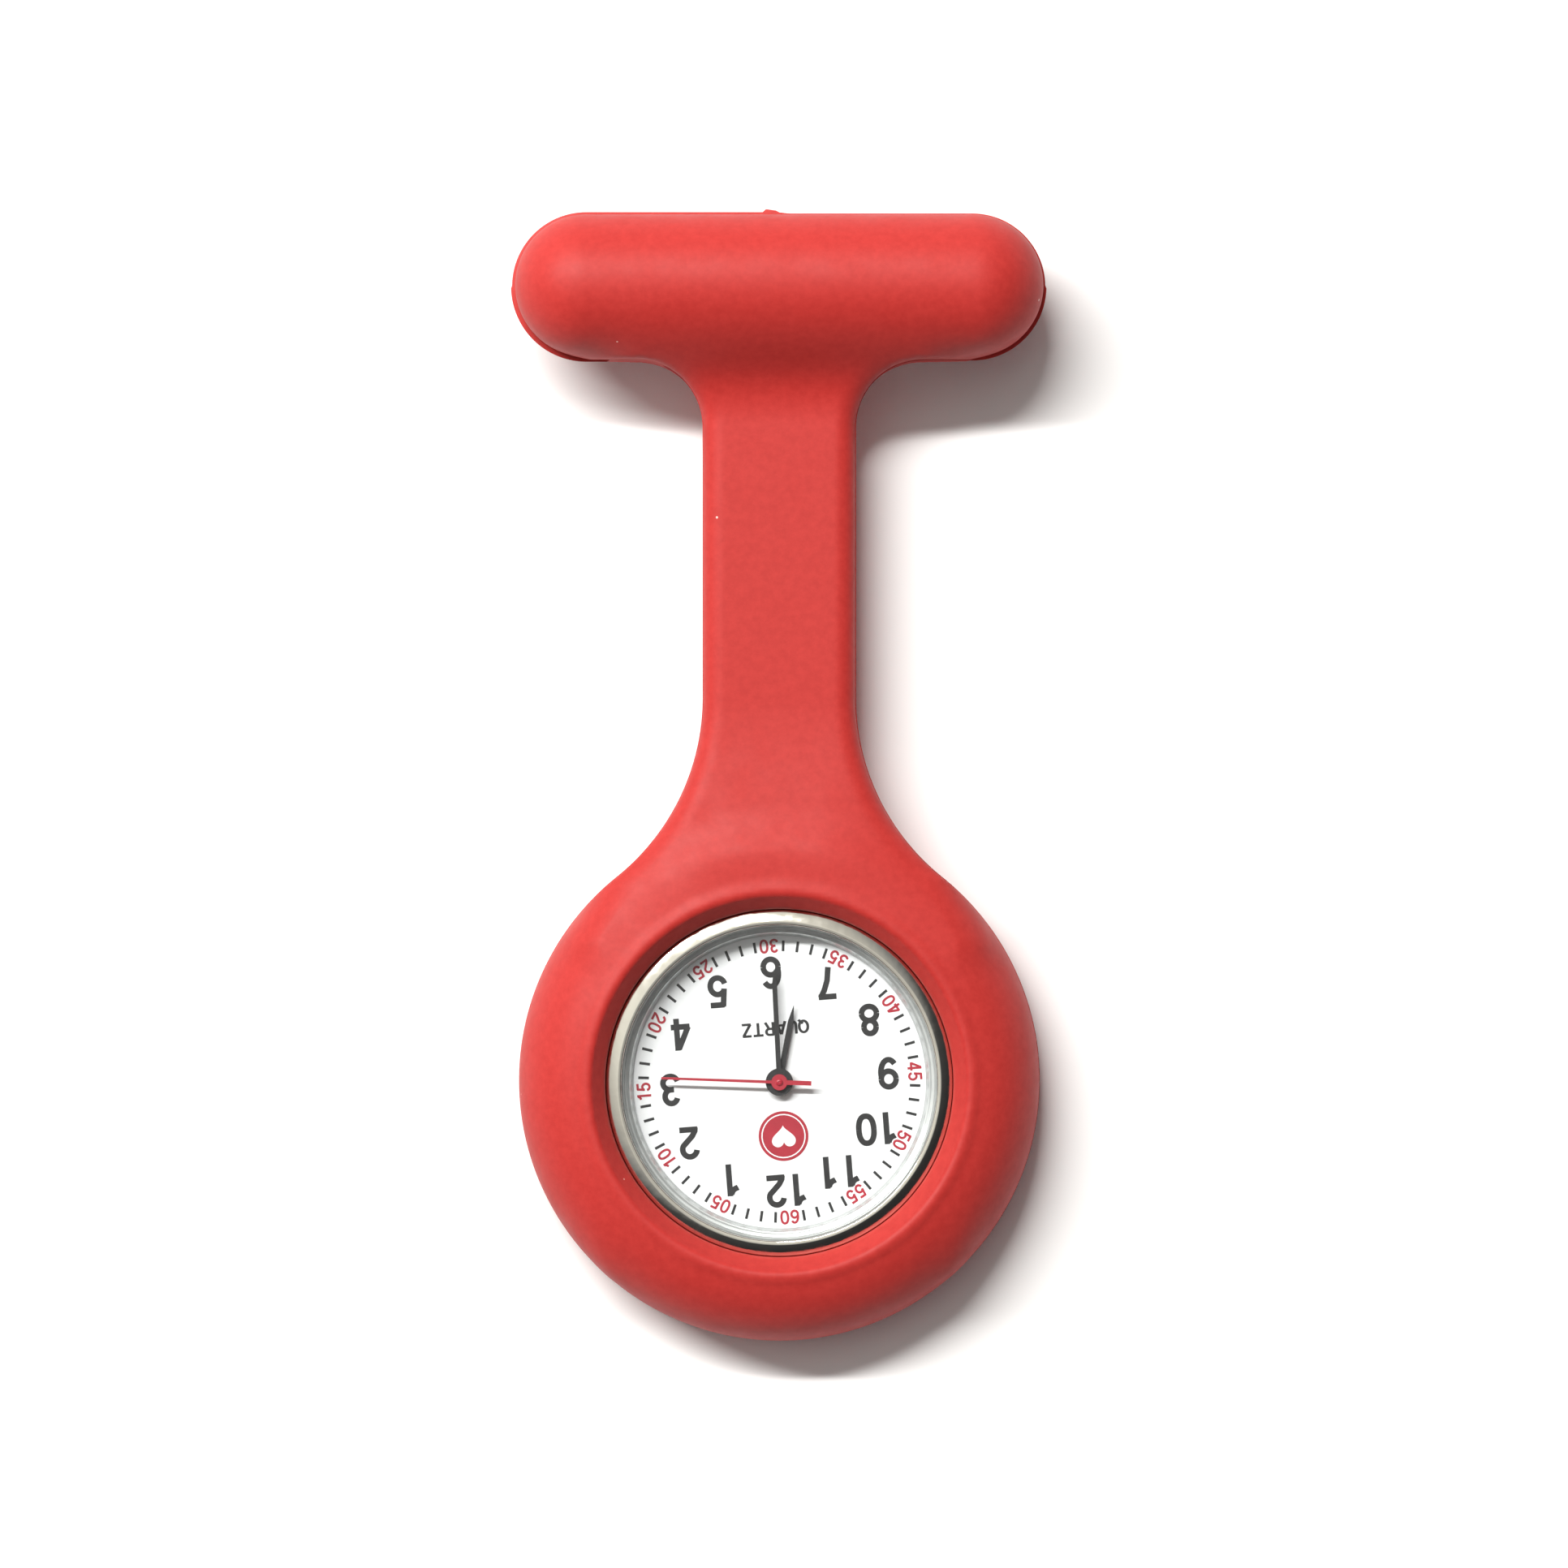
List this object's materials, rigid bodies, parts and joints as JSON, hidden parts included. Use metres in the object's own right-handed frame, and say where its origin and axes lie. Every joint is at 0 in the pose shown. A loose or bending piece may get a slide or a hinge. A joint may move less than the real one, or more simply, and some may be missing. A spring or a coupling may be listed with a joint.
{
  "type": "fob watch",
  "caption": "Nurse's fob watch: round quartz watch head in a silicone ring on a flexible strap, hung from a top bar with a brooch pin on its back.",
  "frame": {"origin": "centre of the outline, on the surface that the watch lies on", "axes": "+Z out of the dial, +Y from the dial towards the top bar, +X to the right seen from the front"},
  "size_m": [0.04, 0.0847, 0.0133],
  "materials": {
    "silicone": "matte moulded silicone",
    "silicone_black": "black seal rubber",
    "steel": "plain pressed steel",
    "chrome": "polished chrome plate",
    "glass": "clear mineral glass",
    "flange_grey": "satin silver paint",
    "dial_white": "satin white enamel",
    "hand_black": "satin black paint",
    "hand_red": "satin red paint",
    "brass": "machined brass",
    "copper": "enamelled copper wire",
    "plastic_white": "moulded movement ring",
    "plastic_black": "moulded movement plate",
    "board_green": "circuit board",
    "magnet": "rotor magnet"
  },
  "bodies": {
    "top_bar": {"top_bar": "silicone", "strap_flex_zone": "silicone", "brooch_plate": "steel", "brooch_hinge_ears": "steel", "brooch_hinge_rivet": "steel", "catch_stand": "steel"},
    "watch_ring": {"watch_ring": "silicone"},
    "watch_head": {"case_back": "steel", "case_back_gasket": "silicone_black", "case_body": "chrome", "bezel": "chrome", "crystal": "glass", "crystal_gasket": "silicone_black", "dial": "dial_white", "inner_flange": "flange_grey", "crown_gasket": "silicone_black", "yoke": "steel", "main_plate": "plastic_black", "train_bridge": "brass", "movement_holder": "plastic_white", "circuit_board": "board_green", "quartz_can": "steel", "coil": "copper", "stator": "steel", "battery": "steel", "battery_clamp": "steel", "movement_screws": "steel"},
    "minute_arbor": {"centre_wheel": "brass", "cannon_pinion": "steel", "minute_hand": "hand_black"},
    "hour_wheel": {"hour_wheel": "brass", "hour_hand": "hand_black"},
    "minute_wheel": {"minute_wheel": "brass"},
    "third_wheel": {"third_wheel": "brass"},
    "second_arbor": {"fourth_wheel": "brass", "second_hand": "hand_red"},
    "fifth_wheel": {"fifth_wheel": "plastic_white"},
    "rotor": {"rotor": "magnet"},
    "clutch": {"clutch_pinion": "steel"},
    "crown_and_stem": {"crown": "chrome", "stem": "steel"},
    "setting_lever": {"setting_lever": "steel"},
    "pin": {"pin_needle": "steel"},
    "safety_barrel": {"safety_barrel": "steel"}
  },
  "joints": [
    {"name": "strap_flex", "type": "hinge", "parent": "top_bar", "child": "watch_ring", "pos_m": [0, 0.01625, 0.0066], "axis": [-1, 0, 0], "range_deg": [-45, 100], "stiffness_Nm_per_rad": 0.003, "deforming": ["strap_flex_zone"]},
    {"name": "watch_pop_out", "type": "slide", "parent": "watch_ring", "child": "watch_head", "axis": [0, 0, 1], "range_m": [0, 0.012]},
    {"name": "minute_turn", "type": "hinge", "parent": "watch_head", "child": "minute_arbor", "pos_m": [0, -0.02275, 0], "axis": [0, 0, -1], "continuous": true},
    {"name": "hour_turn", "type": "hinge", "parent": "watch_head", "child": "hour_wheel", "pos_m": [0, -0.02275, 0], "axis": [0, 0, -1], "continuous": true},
    {"name": "minute_wheel_turn", "type": "hinge", "parent": "watch_head", "child": "minute_wheel", "pos_m": [-0.00209, -0.02393, 0], "axis": [0, 0, -1], "continuous": true},
    {"name": "third_wheel_turn", "type": "hinge", "parent": "watch_head", "child": "third_wheel", "pos_m": [-0.00236, -0.02231, 0], "axis": [0, 0, -1], "continuous": true},
    {"name": "second_turn", "type": "hinge", "parent": "watch_head", "child": "second_arbor", "pos_m": [0, -0.02275, 0], "axis": [0, 0, -1], "continuous": true},
    {"name": "fifth_wheel_turn", "type": "hinge", "parent": "watch_head", "child": "fifth_wheel", "pos_m": [0.00168, -0.02446, 0], "axis": [0, 0, -1], "continuous": true},
    {"name": "rotor_turn", "type": "hinge", "parent": "watch_head", "child": "rotor", "pos_m": [0.00285, -0.02567, 0], "axis": [0, 0, -1], "continuous": true},
    {"name": "crown_turn", "type": "hinge", "parent": "watch_head", "child": "clutch", "pos_m": [0, -0.02275, 0.0033], "axis": [-0.9971, -0.0767, 0], "continuous": true},
    {"name": "crown_pull", "type": "slide", "parent": "clutch", "child": "crown_and_stem", "axis": [-0.9971, -0.0767, 0], "range_m": [0, 0.0009]},
    {"name": "setting_lever_rock", "type": "hinge", "parent": "watch_head", "child": "setting_lever", "pos_m": [-0.00854, -0.02521, 0], "axis": [0, 0, 1], "range_deg": [0, 34.2]},
    {"name": "pin_open", "type": "hinge", "parent": "top_bar", "child": "pin", "pos_m": [0.013, 0.03685, 0.0018], "axis": [0, -1, 0], "range_deg": [0, 100]},
    {"name": "safety_catch_turn", "type": "hinge", "parent": "top_bar", "child": "safety_barrel", "pos_m": [-0.013, 0.03685, 0.0018], "axis": [1, 0, 0], "range_deg": [0, 150]}
  ],
  "couplings": [
    {"joint": "minute_turn", "follows": "second_turn", "ratio": 0.016667},
    {"joint": "hour_turn", "follows": "second_turn", "ratio": 0.0013889},
    {"joint": "minute_wheel_turn", "follows": "second_turn", "ratio": -0.0055556},
    {"joint": "third_wheel_turn", "follows": "second_turn", "ratio": -0.13333},
    {"joint": "fifth_wheel_turn", "follows": "second_turn", "ratio": -5},
    {"joint": "rotor_turn", "follows": "second_turn", "ratio": 30},
    {"joint": "setting_lever_rock", "follows": "crown_pull", "rad_per_m": 660.14}
  ]
}
